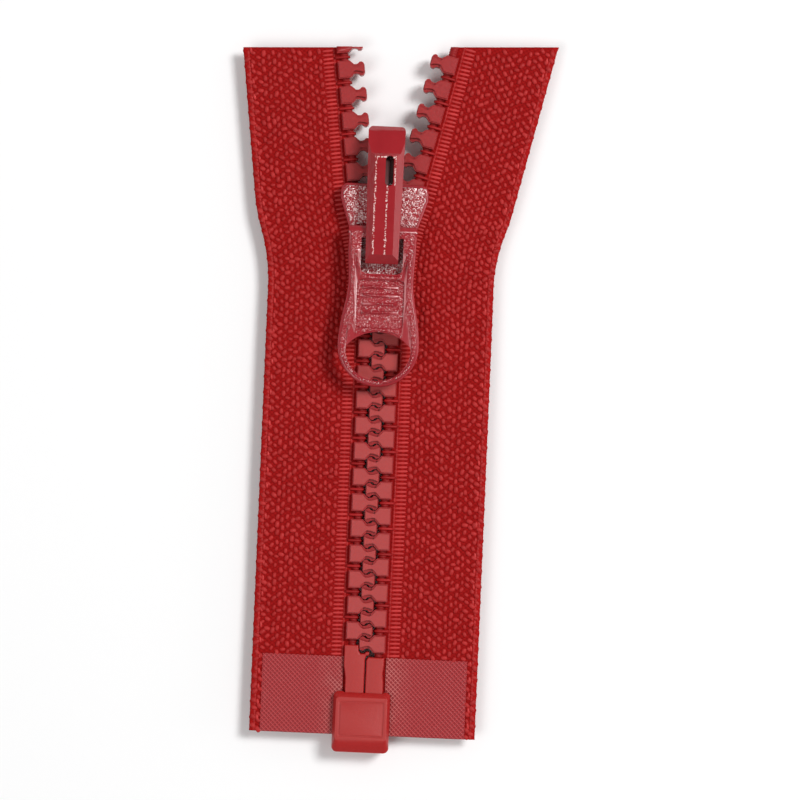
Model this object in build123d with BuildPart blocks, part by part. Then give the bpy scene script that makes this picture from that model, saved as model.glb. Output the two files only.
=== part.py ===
"""Moulded-tooth separating zipper, size 5, cut to length, with its slider near the cut end.

Frame: +Y runs along the closed chain towards the open end, +X to the right, +Z up from the face
that the box rests on. The origin is under the middle of the retainer box, on the chain axis.
All lengths are millimetres and all angles are degrees.
"""
from build123d import *
from math import acos, cos, degrees, radians, sin
import os

os.makedirs("parts", exist_ok=True)

# ---- Driving dimensions -------------------------------------------------------------------
TAPE_PLANE = 2.1            # height of the middle of the tapes above the box's underside
TAPE_THICKNESS = 0.6
TAPE_WIDTH = 16.8           # chain axis to selvedge
TAPE_END = -2.0             # lower end of both tapes
SEWING_STRIP = 7.0          # the plain strip that is stitched to a garment starts here
LADDER_THICKNESS = 0.56     # the band beside the teeth is woven a little thinner
CUT_HEIGHT = 100.2          # where the zipper was cut to length, on the chain axis
CUT_TILT = 2.4              # the cut is not quite square to the chain

PITCH = 3.8                 # tooth to tooth on one tape
FIRST_TOOTH = {"left": 13.55, "right": 11.65}
TEETH_EACH_SIDE = 24
TOOTH_BACK = -2.95          # back of the tooth's base, measured from the chain axis
SHOULDER_BACK = -1.2        # the base narrows from here
SHOULDER_FRONT = -0.6       # to here
TOOTH_TIP = 0.98
TOOTH_HALF_WIDTH = 1.3
TOOTH_HALF_HEIGHT = 1.45
TOOTH_CHAMFER = 0.2
HEAD_BACK = 0.1
HEAD_HALF_HEIGHT = 0.95
FULL_HEAD = (1.04, 0.72)    # half widths of head and neck
SLIM_HEAD = (0.93, 0.55)    # the same for the teeth that mesh inside the slider
RIDGE_WAIST = (-0.45, 0.3)  # place and half width of the raised top where it is narrowest
RIDGE_TIP = (0.84, 0.6)
RIDGE_HALF_HEIGHT = 1.3

CORD_OFFSET = 1.95          # centre of the bead cord from the chain axis
CORD_RADIUS = 0.65
MOULD_GAP = 0.04            # play that the moulded pieces leave round cord and tape

FILM_THICKNESS = 0.12
FILM_TOP = 9.6
FILM_INNER = 3.15
FILM_OUTER = TAPE_WIDTH - 1.6

LOWER_BEND = 11.2           # where the stringers swing from when the slider is right down
UPPER_BEND = 64.0           # where the stringers part inside the slider
MESHING = (66.5, 76.5)      # the teeth between these heights run into each other at an angle

SLIDER_FOOT = 63.6          # closed end of the slider
SLIDER_MOUTH = 79.7         # open end of the slider
MOUTH_SPREAD = 2.65         # how far each stringer stands off the axis at the mouth
LEAD_RADIUS = 34.0          # radius of both bends that lead a stringer to the mouth
WING_ANGLE = {"left": 7.0, "right": 13.0}
CHANNEL_HALF_HEIGHT = 1.6
SLIDER_HALF_HEIGHT = 3.0
FLANGE_GAP = 0.55           # half of the gap that the tape passes through
PLATE_TOP = TAPE_PLANE + SLIDER_HALF_HEIGHT
NIB_HOLE = (0, 69.7)        # the pawl's nib drops through the top plate here

CROWN_FOOT = 67.8
CROWN_NOSE = 88.1
CROWN_TOP = 9.1
CROWN_NOSE_HALF_WIDTH = 2.75
CROWN_FOOT_HALF_WIDTH = 2.4
CAVITY_HALF_WIDTH = 1.25
CAVITY_TOP = 8.4
CAVITY_ENDS = (68.8, 83.7)
NOSE_UNDERSIDE = 4.0
CROWN_SLOT = (0.6, 81.4)    # the slot in the crown's top lies right of its middle

BAR_Y = 72.5                # axis of the pull tab's crossbar
BAR_Z = 6.25
BAR_RADIUS = 0.9
TAB_HALF_THICKNESS = 0.9
TAB_ARM_HALF_WIDTH = 5.0
TAB_WAIST_HALF_WIDTH = 4.8
TAB_ROUND_RADIUS = 6.0
TAB_END = 49.7
WINDOW_HALF_WIDTH = 3.1
WINDOW_FOOT = 66.3
EYE_Y = 55.45
EYE_RADIUS = 4.85
EYE_TOP = 57.8
PANEL_Y = 61.9
PANEL_SIZE = (7.0, 7.0)
PANEL_DEPTH = 0.3
RIB_SPACING = 1.25          # plain grip ribs across the panel

BOX_HALF_WIDTH = 4.22
BOX_HALF_LENGTH = 4.5
BOX_PAD = (7.6, 6.4)        # raised flat on each face
BOX_PAD_Y = 0.5
BOX_X = -0.2                # the box sits a little to the left of the chain axis
BOX_CORE_HALF_HEIGHT = 1.2
PIN_POCKET = (2.83, 7.3)    # width and length of each pocket that a pin fills
PIN_POCKET_X = 1.535
POCKET_Y = 1.35
PIN_HALF_HEIGHT = 1.25
PIN_SEAM = (0.03, 0.2)       # where the two pins face each other, right of the chain axis
RETAINER_PIN_TOP = 11.4
INSERT_PIN_TOP = 9.65

OUTWARD = {"left": -1, "right": 1}
TAPE_MIDDLE = Plane.XY.offset(TAPE_PLANE)
CUT_PLANE = Plane(
    origin=(0, CUT_HEIGHT, 0),
    x_dir=(cos(radians(CUT_TILT)), sin(radians(CUT_TILT)), 0),
    z_dir=(-sin(radians(CUT_TILT)), cos(radians(CUT_TILT)), 0),
)


# ---- The line that each stringer follows -----------------------------------------------------
def lead_turn(side):
    """Steepest angle of a stringer inside the slider."""
    wing = radians(WING_ANGLE[side])
    return degrees(acos((1 + cos(wing) - MOUTH_SPREAD / LEAD_RADIUS) / 2))


def lead_start(side):
    """Height at which a stringer begins to part from the other."""
    rise = 2 * sin(radians(lead_turn(side))) - sin(radians(WING_ANGLE[side]))
    return SLIDER_MOUTH - LEAD_RADIUS * rise


def station(side, along):
    """Point on the chain axis and outward turn, a distance along the stringer."""
    start = lead_start(side)
    steep = radians(lead_turn(side))
    wing = radians(WING_ANGLE[side])
    first = LEAD_RADIUS * steep
    second = LEAD_RADIUS * (steep - wing)
    run = along - start
    if run <= 0:
        spread, height, turn = 0, along, 0
    elif run <= first:
        turn = run / LEAD_RADIUS
        spread = LEAD_RADIUS * (1 - cos(turn))
        height = start + LEAD_RADIUS * sin(turn)
    elif run <= first + second:
        turn = steep - (run - first) / LEAD_RADIUS
        spread = LEAD_RADIUS * (1 - 2 * cos(steep) + cos(turn))
        height = start + LEAD_RADIUS * (2 * sin(steep) - sin(turn))
    else:
        turn = wing
        spread = MOUTH_SPREAD + (run - first - second) * sin(wing)
        height = SLIDER_MOUTH + (run - first - second) * cos(wing)
    return OUTWARD[side] * spread, height, degrees(turn)


def wing_line(side, offset):
    """Line beside the open stringer, a constant distance outside the chain axis."""
    out = OUTWARD[side]
    steep = lead_turn(side)
    straight = Line((out * offset, UPPER_BEND), (out * offset, lead_start(side)))
    outwards = JernArc(
        start=straight @ 1,
        tangent=straight % 1,
        radius=LEAD_RADIUS - offset,
        arc_size=-out * steep,
    )
    back = JernArc(
        start=outwards @ 1,
        tangent=outwards % 1,
        radius=LEAD_RADIUS + offset,
        arc_size=out * (steep - WING_ANGLE[side]),
    )
    wing = PolarLine(back @ 1, length=30, direction=back % 1)
    return straight, wing


def finish_node(builder, name):
    """Label a finished piece and write it out."""
    builder.part.label = name
    export_step(builder.part, f"parts/{name}.step")


# ---- Woven tapes ---------------------------------------------------------------------------
TAPE_INNER = CORD_OFFSET + CORD_RADIUS + 0.01

for side, out in OUTWARD.items():
    for name, low, high in (
        ("bottom", TAPE_END, LOWER_BEND),
        ("closed", LOWER_BEND, UPPER_BEND),
    ):
        with BuildPart() as tape:
            with BuildSketch(TAPE_MIDDLE):
                with Locations((out * (TAPE_INNER + TAPE_WIDTH) / 2, (low + high) / 2)):
                    Rectangle(TAPE_WIDTH - TAPE_INNER, high - low)
            extrude(amount=LADDER_THICKNESS / 2, both=True)
            with BuildSketch(TAPE_MIDDLE):
                with Locations((out * (SEWING_STRIP + TAPE_WIDTH) / 2, (low + high) / 2)):
                    Rectangle(TAPE_WIDTH - SEWING_STRIP, high - low)
            extrude(amount=TAPE_THICKNESS / 2, both=True)
        finish_node(tape, f"{side}_tape_{name}")

    wing = radians(WING_ANGLE[side])
    selvedge_x = MOUTH_SPREAD + TAPE_WIDTH * cos(wing)
    selvedge_y = SLIDER_MOUTH - TAPE_WIDTH * sin(wing)
    with BuildPart() as tape:
        with BuildSketch(TAPE_MIDDLE):
            with BuildLine():
                inner, inner_end = wing_line(side, TAPE_INNER)
                outer_end = PolarLine(
                    (out * selvedge_x, selvedge_y), length=34, angle=90 - out * WING_ANGLE[side]
                )
                Line(inner_end @ 1, outer_end @ 1)
                Line((out * selvedge_x, selvedge_y), (out * TAPE_WIDTH, UPPER_BEND))
                Line((out * TAPE_WIDTH, UPPER_BEND), inner @ 0)
            make_face()
        extrude(amount=TAPE_THICKNESS / 2, both=True)
        split(bisect_by=CUT_PLANE, keep=Keep.BOTTOM)
    finish_node(tape, f"{side}_tape_open")

# ---- Bead cords woven along the inner edges ----------------------------------------------------
for side, out in OUTWARD.items():
    for name, low, high in (
        ("bottom", TAPE_END, LOWER_BEND),
        ("closed", LOWER_BEND, UPPER_BEND),
    ):
        with BuildPart() as cord:
            with BuildSketch(Plane(origin=(out * CORD_OFFSET, low, TAPE_PLANE), z_dir=(0, 1, 0))):
                Circle(CORD_RADIUS)
            extrude(amount=high - low)
        finish_node(cord, f"{side}_cord_{name}")

    with BuildPart() as cord:
        with BuildLine(TAPE_MIDDLE):
            wing_line(side, CORD_OFFSET)
        with BuildSketch(
            Plane(origin=(out * CORD_OFFSET, UPPER_BEND, TAPE_PLANE), z_dir=(0, 1, 0))
        ):
            Circle(CORD_RADIUS)
        sweep()
        split(bisect_by=CUT_PLANE, keep=Keep.BOTTOM)
    finish_node(cord, f"{side}_cord_open")


# ---- Moulded teeth -------------------------------------------------------------------------
def moulded_tooth(head_half_width, neck_half_width):
    """One tooth pointing along +X, with its cord channel and the slit for the tape."""
    with BuildPart() as tooth:
        with BuildSketch():
            with BuildLine():
                Polyline(
                    (TOOTH_BACK, 0),
                    (TOOTH_BACK, TOOTH_HALF_WIDTH),
                    (SHOULDER_BACK, TOOTH_HALF_WIDTH),
                    (SHOULDER_FRONT, neck_half_width),
                    (SHOULDER_FRONT, 0),
                )
                mirror(about=Plane.XZ)
            make_face()
        extrude(amount=TOOTH_HALF_HEIGHT, both=True)
        flats = tooth.faces().filter_by(Axis.Z)
        chamfer(flats.edges(), length=TOOTH_CHAMFER)
        with BuildSketch():
            with Locations(((SHOULDER_FRONT + HEAD_BACK) / 2, 0)):
                Rectangle(HEAD_BACK - SHOULDER_FRONT + 0.6, 2 * neck_half_width)
        extrude(amount=HEAD_HALF_HEIGHT, both=True)
        with BuildSketch() as head:
            with Locations(((HEAD_BACK + TOOTH_TIP) / 2, 0)):
                Rectangle(TOOTH_TIP - HEAD_BACK, 2 * head_half_width)
            fillet(head.vertices().group_by(Axis.X)[-1], radius=0.5)
            fillet(head.vertices().group_by(Axis.X)[0], radius=0.3)
        extrude(amount=HEAD_HALF_HEIGHT, both=True)
        with BuildSketch():
            with BuildLine():
                Polyline((-1.3, 0), (-1.3, 1.0), RIDGE_WAIST, RIDGE_TIP, (RIDGE_TIP[0], 0))
                mirror(about=Plane.XZ)
            make_face()
        extrude(amount=RIDGE_HALF_HEIGHT, both=True)
        with BuildSketch(Plane.XZ):
            with Locations((-CORD_OFFSET, 0)):
                Circle(CORD_RADIUS + MOULD_GAP)
            with Locations((-CORD_OFFSET - 1, 0)):
                Rectangle(2, TAPE_THICKNESS + 2 * MOULD_GAP)
        extrude(amount=2 * TOOTH_HALF_WIDTH, both=True, mode=Mode.SUBTRACT)
    return tooth.part


full_tooth = moulded_tooth(*FULL_HEAD)
slim_tooth = moulded_tooth(*SLIM_HEAD)


def tooth_places(side, low, high):
    """Where the teeth of one stringer stand whose middles lie between two heights."""
    places = []
    for count in range(TEETH_EACH_SIDE):
        x, y, turn = station(side, FIRST_TOOTH[side] + count * PITCH)
        heading = turn if side == "left" else 180 - turn
        if low <= y < high:
            places.append(Location((x, y, TAPE_PLANE), (0, 0, heading)))
    return places


for side in OUTWARD:
    with BuildPart() as teeth:
        with Locations(*tooth_places(side, 0, MESHING[0])):
            add(full_tooth)
    finish_node(teeth, f"{side}_teeth_closed")
    with BuildPart() as teeth:
        with Locations(*tooth_places(side, *MESHING)):
            add(slim_tooth)
        with Locations(*tooth_places(side, MESHING[1], 2 * CUT_HEIGHT)):
            add(full_tooth)
        split(bisect_by=CUT_PLANE, keep=Keep.BOTTOM)
    finish_node(teeth, f"{side}_teeth_open")

# ---- Reinforcing films on the lower tape ends ---------------------------------------------------
for side, out in OUTWARD.items():
    for name, height in (
        ("front", TAPE_PLANE + (TAPE_THICKNESS + FILM_THICKNESS) / 2),
        ("back", TAPE_PLANE - (TAPE_THICKNESS + FILM_THICKNESS) / 2),
    ):
        with BuildPart() as film:
            with BuildSketch(Plane.XY.offset(height)):
                with Locations((out * (FILM_INNER + FILM_OUTER) / 2, (TAPE_END + FILM_TOP) / 2)):
                    Rectangle(FILM_OUTER - FILM_INNER, FILM_TOP - TAPE_END)
            extrude(amount=FILM_THICKNESS / 2, both=True)
        finish_node(film, f"{side}_film_{name}")

# ---- Pins at the lower end --------------------------------------------------------------------
pin_outlines = {
    "retainer_pin": (
        "left",
        (
            (PIN_SEAM[0], TAPE_END),
            (PIN_SEAM[0], 9.3),
            (0.2, 9.85),
            (0.6, 9.95),
            (0.6, 10.45),
            (0.1, 10.45),
            (-0.1, 10.15),
            (-0.75, 10.15),
            (-1.0, 10.6),
            (-1.0, RETAINER_PIN_TOP),
            (-3.1, RETAINER_PIN_TOP),
            (-3.1, 8.4),
            (-2.8, 6.6),
            (-2.8, TAPE_END),
        ),
    ),
    "insert_pin": (
        "right",
        (
            (PIN_SEAM[1], TAPE_END),
            (PIN_SEAM[1], 9.2),
            (0.45, INSERT_PIN_TOP),
            (2.85, INSERT_PIN_TOP),
            (2.85, 8.6),
            (2.7, 7.2),
            (2.85, 5.8),
            (2.85, TAPE_END),
        ),
    ),
}

for name, (side, outline) in pin_outlines.items():
    out = OUTWARD[side]
    with BuildPart() as pin:
        with BuildSketch(TAPE_MIDDLE):
            with BuildLine():
                Polyline(*outline, close=True)
            make_face()
        extrude(amount=PIN_HALF_HEIGHT, both=True)
        flats = pin.faces().filter_by(Axis.Z)
        chamfer(flats.edges(), length=0.12)
        with BuildSketch(Plane(origin=(0, 0, TAPE_PLANE), x_dir=(1, 0, 0), z_dir=(0, -1, 0))):
            with Locations((out * CORD_OFFSET, 0)):
                Circle(CORD_RADIUS + MOULD_GAP)
            with Locations((out * (CORD_OFFSET + 1), 0)):
                Rectangle(2, TAPE_THICKNESS + 2 * MOULD_GAP)
        extrude(amount=20, both=True, mode=Mode.SUBTRACT)
    finish_node(pin, name)

# ---- Retainer box ---------------------------------------------------------------------------
with BuildPart() as box:
    with BuildSketch(TAPE_MIDDLE):
        with Locations((BOX_X, 0)):
            RectangleRounded(2 * BOX_HALF_WIDTH, 2 * BOX_HALF_LENGTH, 0.8)
    extrude(amount=BOX_CORE_HALF_HEIGHT, both=True)
    for up in (1, -1):
        with BuildSketch(Plane.XY.offset(TAPE_PLANE + up * BOX_CORE_HALF_HEIGHT)):
            with Locations((BOX_X, 0)):
                RectangleRounded(2 * BOX_HALF_WIDTH, 2 * BOX_HALF_LENGTH, 0.8)
        with BuildSketch(Plane.XY.offset(TAPE_PLANE + up * TAPE_PLANE)):
            with Locations((BOX_X, BOX_PAD_Y)):
                RectangleRounded(*BOX_PAD, 0.5)
        loft()
    with BuildSketch(Plane.XY.offset(2 * TAPE_PLANE)):
        with Locations((BOX_X, BOX_PAD_Y)):
            RectangleRounded(6.6, 5.2, 0.3)
            RectangleRounded(6.2, 4.8, 0.2, mode=Mode.SUBTRACT)
    extrude(amount=-0.08, mode=Mode.SUBTRACT)
    with BuildSketch(TAPE_MIDDLE):
        with Locations((0, POCKET_Y)):
            Rectangle(2 * PIN_POCKET_X + PIN_POCKET[0], PIN_POCKET[1])
    extrude(amount=PIN_HALF_HEIGHT + 0.1, both=True, mode=Mode.SUBTRACT)
    with BuildSketch(TAPE_MIDDLE):
        for out in OUTWARD.values():
            with Locations((out * 4, POCKET_Y)):
                Rectangle(3, PIN_POCKET[1])
    extrude(amount=FLANGE_GAP, both=True, mode=Mode.SUBTRACT)
finish_node(box, "retainer_box")

# ---- Slider body ---------------------------------------------------------------------------
slider_outline = (
    (0, SLIDER_FOOT),
    (4.5, SLIDER_FOOT),
    (4.75, 70.0),
    (5.1, 73.2),
    (6.5, 77.4),
    (6.5, SLIDER_MOUTH),
    (0, SLIDER_MOUTH),
)
channel_outline = (
    (0, SLIDER_FOOT - 1),
    (3.25, SLIDER_FOOT - 1),
    (3.3, 66.0),
    (4.5, 73.0),
    (5.98, SLIDER_MOUTH + 0.5),
    (0, SLIDER_MOUTH + 0.5),
)
divider_outline = ((0, 74.6), (1.05, 78.2), (0.95, 79.3), (0.6, SLIDER_MOUTH), (0, SLIDER_MOUTH))


def mirrored_face(outline):
    """A flat face from a half outline and its mirror image."""
    with BuildSketch() as whole:
        with BuildLine():
            Polyline(*outline)
            mirror(about=Plane.YZ)
        make_face()
    return whole.sketch


slider_face = mirrored_face(slider_outline)
channel_face = mirrored_face(channel_outline)
divider_face = mirrored_face(divider_outline)


with BuildPart() as slider:
    with BuildSketch(TAPE_MIDDLE) as plan:
        add(slider_face)
        fillet(plan.vertices().group_by(Axis.Y)[-1].sort_by(Axis.X)[0], radius=1.1)
        fillet(plan.vertices().group_by(Axis.Y)[-1].sort_by(Axis.X)[-1], radius=1.1)
        fillet(plan.vertices().group_by(Axis.Y)[0], radius=1.0)
    extrude(amount=SLIDER_HALF_HEIGHT, both=True)
    rims = slider.faces().filter_by(Axis.Z).edges()
    fillet(rims, radius=0.45)
    with BuildSketch(TAPE_MIDDLE):
        add(channel_face)
    extrude(amount=CHANNEL_HALF_HEIGHT, both=True, mode=Mode.SUBTRACT)
    with BuildSketch(TAPE_MIDDLE):
        with Locations((0, (SLIDER_FOOT + SLIDER_MOUTH) / 2)):
            Rectangle(20, 20)
    extrude(amount=FLANGE_GAP, both=True, mode=Mode.SUBTRACT)
    with BuildSketch(TAPE_MIDDLE):
        add(divider_face)
    extrude(amount=CHANNEL_HALF_HEIGHT, both=True)
    with BuildSketch(Plane.XY.offset(PLATE_TOP)):
        with Locations(NIB_HOLE):
            Rectangle(1.6, 1.3)
    extrude(amount=-2, mode=Mode.SUBTRACT)
finish_node(slider, "slider_body")

# ---- Crown over the lock, standing on the slider ---------------------------------------------------
with BuildPart() as crown:
    with BuildSketch(Plane.YZ):
        with BuildLine():
            Polyline(
                (CROWN_FOOT, PLATE_TOP),
                (CROWN_FOOT, 7.7),
                (69.1, CROWN_TOP),
                (83.6, CROWN_TOP),
                (84.0, 8.5),
                (87.3, 7.4),
                (CROWN_NOSE, 6.4),
                (CROWN_NOSE, NOSE_UNDERSIDE),
                (SLIDER_MOUTH + 0.05, NOSE_UNDERSIDE),
                (SLIDER_MOUTH + 0.05, PLATE_TOP),
                close=True,
            )
        make_face()
    extrude(amount=CROWN_NOSE_HALF_WIDTH, both=True)
    long_edges = crown.edges().filter_by(Axis.Y).group_by(Axis.Z)[-1]
    chamfer(long_edges, length=1.2)
    with BuildSketch():
        with BuildLine():
            Polyline(
                (-CROWN_FOOT_HALF_WIDTH, CROWN_FOOT - 0.1),
                (CROWN_FOOT_HALF_WIDTH, CROWN_FOOT - 0.1),
                (CROWN_NOSE_HALF_WIDTH, CROWN_NOSE),
                (-CROWN_NOSE_HALF_WIDTH, CROWN_NOSE),
                close=True,
            )
        make_face()
    extrude(amount=CROWN_TOP, mode=Mode.INTERSECT)
    fillet(crown.edges().filter_by(Axis.Z).group_by(Axis.Y)[-1], radius=0.7)
    with BuildSketch(Plane.YZ):
        with Locations((sum(CAVITY_ENDS) / 2, (PLATE_TOP + CAVITY_TOP) / 2)):
            Rectangle(CAVITY_ENDS[1] - CAVITY_ENDS[0], CAVITY_TOP - PLATE_TOP)
    extrude(amount=CAVITY_HALF_WIDTH, both=True, mode=Mode.SUBTRACT)
    with BuildSketch(Plane.YZ):
        with Locations((BAR_Y, PLATE_TOP)):
            Rectangle(2.6, 2 * (BAR_Z - PLATE_TOP))
        with Locations((BAR_Y, BAR_Z)):
            Circle(1.3)
    extrude(amount=2 * CROWN_NOSE_HALF_WIDTH, both=True, mode=Mode.SUBTRACT)
    with BuildSketch(Plane.XY.offset(CROWN_TOP)):
        with Locations(CROWN_SLOT):
            SlotOverall(4.4, 1.2, rotation=90)
    extrude(amount=-1, mode=Mode.SUBTRACT)
finish_node(crown, "slider_crown")

# ---- Lock pawl: a bent spring strip whose nib drops between the teeth ---------------------------------
with BuildPart() as pawl:
    with BuildSketch(Plane.YZ):
        with BuildLine():
            Polyline(
                (69.3, 3.5),
                (69.3, 7.45),
                (69.6, 7.75),
                (82.9, 7.75),
                (83.4, 7.4),
                (83.4, 5.3),
                (83.0, 5.3),
                (83.0, 7.35),
                (70.1, 7.35),
                (70.1, 3.9),
                (69.7, 3.5),
                close=True,
            )
        make_face()
    extrude(amount=0.6, both=True)
finish_node(pawl, "lock_pawl")

# ---- Pull tab -----------------------------------------------------------------------------
ROUND_Y = TAB_END + TAB_ROUND_RADIUS

with BuildPart() as tab:
    with BuildSketch(Plane.XY.offset(BAR_Z)) as blade:
        with BuildLine():
            Polyline((0, BAR_Y), (TAB_ARM_HALF_WIDTH, BAR_Y), (TAB_ARM_HALF_WIDTH, 70.0))
            Spline(
                (TAB_ARM_HALF_WIDTH, 70.0),
                (TAB_WAIST_HALF_WIDTH, 64.8),
                (TAB_ROUND_RADIUS, ROUND_Y),
                tangents=((0, -1), (0, -1)),
            )
            CenterArc((0, ROUND_Y), TAB_ROUND_RADIUS, 0, -90)
            mirror(about=Plane.YZ)
        make_face()
    extrude(amount=TAB_HALF_THICKNESS, both=True)
    fillet(tab.edges().filter_by(GeomType.BSPLINE), radius=0.45)
    with BuildSketch(Plane.YZ):
        with Locations((BAR_Y, BAR_Z)):
            Circle(BAR_RADIUS)
    extrude(amount=TAB_ARM_HALF_WIDTH, both=True)
    with BuildSketch(Plane.XY.offset(BAR_Z)):
        with Locations((0, (BAR_Y - BAR_RADIUS + WINDOW_FOOT) / 2)):
            window = Rectangle(2 * WINDOW_HALF_WIDTH, BAR_Y - BAR_RADIUS - WINDOW_FOOT)
        fillet(window.vertices().group_by(Axis.Y)[0], radius=1.0)
    extrude(amount=TAB_HALF_THICKNESS, both=True, mode=Mode.SUBTRACT)
    with BuildSketch(Plane.XY.offset(BAR_Z)) as eye:
        with BuildLine():
            ThreePointArc((-EYE_RADIUS, EYE_Y), (0, EYE_TOP), (EYE_RADIUS, EYE_Y))
            CenterArc((0, EYE_Y), EYE_RADIUS, 180, 180)
        make_face()
        fillet(eye.vertices(), radius=0.9)
    extrude(amount=TAB_HALF_THICKNESS, both=True, mode=Mode.SUBTRACT)
    for up in (1, -1):
        with BuildSketch(Plane.XY.offset(BAR_Z + up * TAB_HALF_THICKNESS)):
            with Locations((0, PANEL_Y)):
                RectangleRounded(*PANEL_SIZE, 0.5)
        extrude(amount=-up * PANEL_DEPTH, mode=Mode.SUBTRACT)
        with BuildSketch(Plane.XY.offset(BAR_Z + up * (TAB_HALF_THICKNESS - PANEL_DEPTH))):
            with Locations(*((0, PANEL_Y + RIB_SPACING * count) for count in (-1, 0, 1, 2))):
                RectangleRounded(5.2, 0.5, 0.2)
        extrude(amount=up * 0.2)
finish_node(tab, "pull_tab")
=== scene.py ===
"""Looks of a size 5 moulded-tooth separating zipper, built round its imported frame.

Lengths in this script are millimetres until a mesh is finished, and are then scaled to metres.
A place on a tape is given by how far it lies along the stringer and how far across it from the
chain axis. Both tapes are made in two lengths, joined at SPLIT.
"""
import math
import random

import bmesh
import bpy
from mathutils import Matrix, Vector


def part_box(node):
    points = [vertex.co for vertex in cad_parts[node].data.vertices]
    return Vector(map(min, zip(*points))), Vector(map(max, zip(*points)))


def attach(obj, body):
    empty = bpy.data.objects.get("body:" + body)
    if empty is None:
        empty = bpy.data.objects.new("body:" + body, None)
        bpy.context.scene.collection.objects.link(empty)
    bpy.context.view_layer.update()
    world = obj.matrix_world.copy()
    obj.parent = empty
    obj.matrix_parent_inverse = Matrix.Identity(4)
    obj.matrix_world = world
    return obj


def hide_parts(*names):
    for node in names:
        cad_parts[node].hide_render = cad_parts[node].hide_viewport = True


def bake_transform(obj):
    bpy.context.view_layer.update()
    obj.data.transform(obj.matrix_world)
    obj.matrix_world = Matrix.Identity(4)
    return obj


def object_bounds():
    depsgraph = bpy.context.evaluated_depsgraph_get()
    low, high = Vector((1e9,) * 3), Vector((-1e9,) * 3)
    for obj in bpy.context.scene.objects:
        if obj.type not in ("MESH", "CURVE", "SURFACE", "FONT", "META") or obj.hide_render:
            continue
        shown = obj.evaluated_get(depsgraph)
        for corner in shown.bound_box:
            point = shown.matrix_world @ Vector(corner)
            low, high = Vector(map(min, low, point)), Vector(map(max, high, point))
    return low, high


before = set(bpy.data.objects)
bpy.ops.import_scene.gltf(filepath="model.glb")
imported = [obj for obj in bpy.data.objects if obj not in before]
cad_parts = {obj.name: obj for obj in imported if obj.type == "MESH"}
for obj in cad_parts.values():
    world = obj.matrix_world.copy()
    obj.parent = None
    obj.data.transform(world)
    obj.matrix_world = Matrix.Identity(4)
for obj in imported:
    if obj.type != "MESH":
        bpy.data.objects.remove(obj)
cad_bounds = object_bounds()

MM = 0.001
SIDES = {"left": -1, "right": 1}


def low(node):
    """Lowest corner of a frame node, in millimetres."""
    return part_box(node)[0] / MM


def high(node):
    """Highest corner of a frame node, in millimetres."""
    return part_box(node)[1] / MM


# ---- Sizes read from the frame ---------------------------------------------------------------
PLANE = (low("left_tape_closed").z + high("left_tape_closed").z) / 2
TAPE_WIDTH = high("right_tape_closed").x
TAPE_END = low("left_tape_bottom").y
MOUTH = high("slider_body").y
CORD_OFFSET = (low("right_cord_closed").x + high("right_cord_closed").x) / 2
CORD_RADIUS = (high("right_cord_closed").x - low("right_cord_closed").x) / 2
FILM_HIGH = high("right_film_front")
FLOOR = cad_bounds[0][2] / MM - 0.03    # a little under the slider, so the two never flicker

# ---- Sizes that repeat the design --------------------------------------------------------------
PITCH = 3.8                      # one tooth to the next on the same side
FIRST_TOOTH = {"left": 13.55, "right": 11.65}
TEETH_EACH_SIDE = 24
MOUTH_SPREAD = 2.65              # each stringer's distance from the axis at the slider's mouth
LEAD_RADIUS = 34.0               # of the two opposite bends by which the stringers part
WING_ANGLE = {"left": math.radians(7.0), "right": math.radians(13.0)}
CUT_HEIGHT = 100.2               # where the cut to length crosses the chain axis
CUT_SLOPE = math.tan(math.radians(2.4))
LONGEST = CUT_HEIGHT + 6.0       # the cut crosses every part of the cloth before this
SLIDER_STRETCH = (62.0, 84.0)    # the painted sheen on the teeth fades from here to here
SPLIT = 40.0                     # where the lower and the upper length of each tape meet
WING_EASE = (56.0, 84.0)         # the selvedge turns outwards over this stretch
STIFF_EDGE = (3.0, 9.0)          # across this stretch the cloth stops following the teeth

MESHING = (66.5, 76.5)           # the teeth between these heights have slimmer heads
FULL_HEAD = (1.04, 0.72)         # half widths of a tooth's head and neck
SLIM_HEAD = (0.93, 0.55)

# ---- Weave -----------------------------------------------------------------------------------
PICK = 0.61                      # one weft yarn to the next, along the tape
END = 0.76                       # one warp yarn to the next, across it
LADDER = (3.5, 5.1)              # the open band of straight weft beside the teeth
BODY_WEAVE = (5.15, 15.8)        # the bumpy body of the tape
CLOTH_HALF = 0.2                 # half thickness of the ground cloth under the raised yarns
YARN_LIFT = 0.2                  # middle of the raised yarns above the middle of the cloth
WARP_LIFT = 0.17                 # and of the flatter warp yarns along its edges
KNOT_STEP = 2.3                  # one knot of the selvedge to the next
FILM_GRID = 0.47                 # spacing of the lines embossed on the films
TWILL_COLUMNS = 4                # the twill changes its lean after this many warp yarns
FLOAT_STEP = 2 * PICK            # each warp yarn floats over every other weft yarn
FLOAT_SIZE = (0.25, 0.38, 0.16)  # half width, half length and half height of a float
LADDER_SIZE = (0.19, (LADDER[1] - LADDER[0]) / 2 + 0.1, 0.09)
EDGE_SIZE = (0.17, 0.36, 0.1)
SELVEDGE_SIZE = (0.19, 0.45, 0.2)
SEEDS = {"front": 11, "back": 23}
TOOTH_SEEDS = {"left": 31, "right": 37}
BINDING_SEED = 41


# ---- Where things lie ---------------------------------------------------------------------------
def ease(value, start, end):
    """Smooth step from 0 at start to 1 at end."""
    share = min(max((value - start) / (end - start), 0), 1)
    return share * share * (3 - 2 * share)


def lead(side):
    """Steepest turn of a stringer and where it begins to part from the other."""
    wing = WING_ANGLE[side]
    steep = math.acos((1 + math.cos(wing) - MOUTH_SPREAD / LEAD_RADIUS) / 2)
    start = MOUTH - LEAD_RADIUS * (2 * math.sin(steep) - math.sin(wing))
    return steep, start


LEAD = {side: lead(side) for side in SIDES}


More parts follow.
